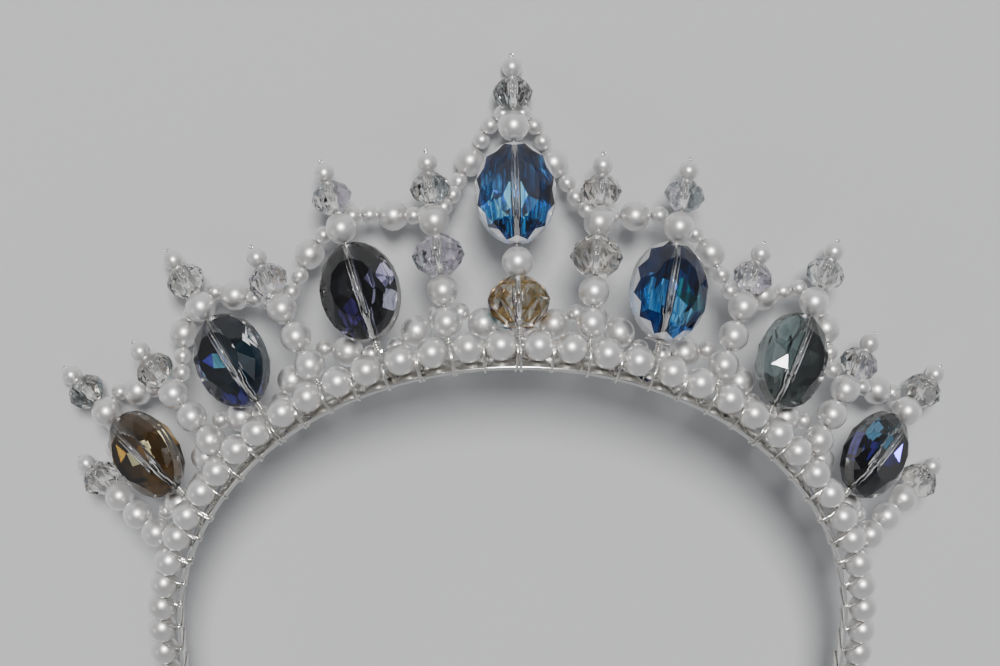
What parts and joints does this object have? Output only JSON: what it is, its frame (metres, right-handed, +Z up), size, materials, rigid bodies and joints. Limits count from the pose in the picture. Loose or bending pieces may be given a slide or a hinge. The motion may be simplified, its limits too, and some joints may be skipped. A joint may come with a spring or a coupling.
{
  "type": "crystal headband",
  "caption": "Metal headband with a wired row of pearls and a fan of pearl and cut-crystal spikes joined by two strings of pearls, lying on its spike tips.",
  "frame": {"origin": "on the floor under the middle of the headband's bounding box, as it lies on the wire ends of the centre spike and of the sixth spike on each side", "axes": "+X from the left spikes to the right ones, +Y from the band's ends to the centre spike, +Z up from the floor"},
  "size_m": [0.1812, 0.1748, 0.04],
  "materials": {
    "polished_silver": "polished",
    "glass_pearl": "pearlescent coat on opaque glass, with thin silver wire through it",
    "blue_crystal": "polished facets with an iridescent coat",
    "lilac_crystal": "polished facets with an iridescent coat",
    "green_crystal": "polished facets with an iridescent coat",
    "amber_crystal": "polished facets with an iridescent coat",
    "violet_crystal": "polished facets with an iridescent coat",
    "clear_crystal": "polished facets"
  },
  "bodies": {
    "root": {"band": "polished_silver", "lower_string_left": "glass_pearl", "lower_string_right": "glass_pearl", "oval_crystal_centre": "blue_crystal", "oval_crystal_left_2": "lilac_crystal", "oval_crystal_left_4": "lilac_crystal", "oval_crystal_left_6": "amber_crystal", "oval_crystal_right_2": "blue_crystal", "oval_crystal_right_4": "green_crystal", "oval_crystal_right_6": "violet_crystal", "pearl_row_left": "glass_pearl", "pearl_row_right": "glass_pearl", "stem_centre": "glass_pearl", "stem_left_1": "glass_pearl", "stem_left_2": "glass_pearl", "stem_left_3": "glass_pearl", "stem_left_4": "glass_pearl", "stem_left_5": "glass_pearl", "stem_left_6": "glass_pearl", "stem_left_7": "glass_pearl", "stem_right_1": "glass_pearl", "stem_right_2": "glass_pearl", "stem_right_3": "glass_pearl", "stem_right_4": "glass_pearl", "stem_right_5": "glass_pearl", "stem_right_6": "glass_pearl", "stem_right_7": "glass_pearl", "tip_crystal_centre": "clear_crystal", "tip_crystal_left_1": "clear_crystal", "tip_crystal_left_2": "clear_crystal", "tip_crystal_left_3": "clear_crystal", "tip_crystal_left_4": "clear_crystal", "tip_crystal_left_5": "clear_crystal", "tip_crystal_left_6": "clear_crystal", "tip_crystal_left_7": "clear_crystal", "tip_crystal_right_1": "clear_crystal", "tip_crystal_right_2": "clear_crystal", "tip_crystal_right_3": "clear_crystal", "tip_crystal_right_4": "clear_crystal", "tip_crystal_right_5": "clear_crystal", "tip_crystal_right_6": "clear_crystal", "tip_crystal_right_7": "clear_crystal", "upper_string_left": "glass_pearl", "upper_string_right": "glass_pearl", "waist_crystal_centre": "amber_crystal", "waist_crystal_left_1": "clear_crystal", "waist_crystal_right_1": "clear_crystal"}
  },
  "joints": []
}
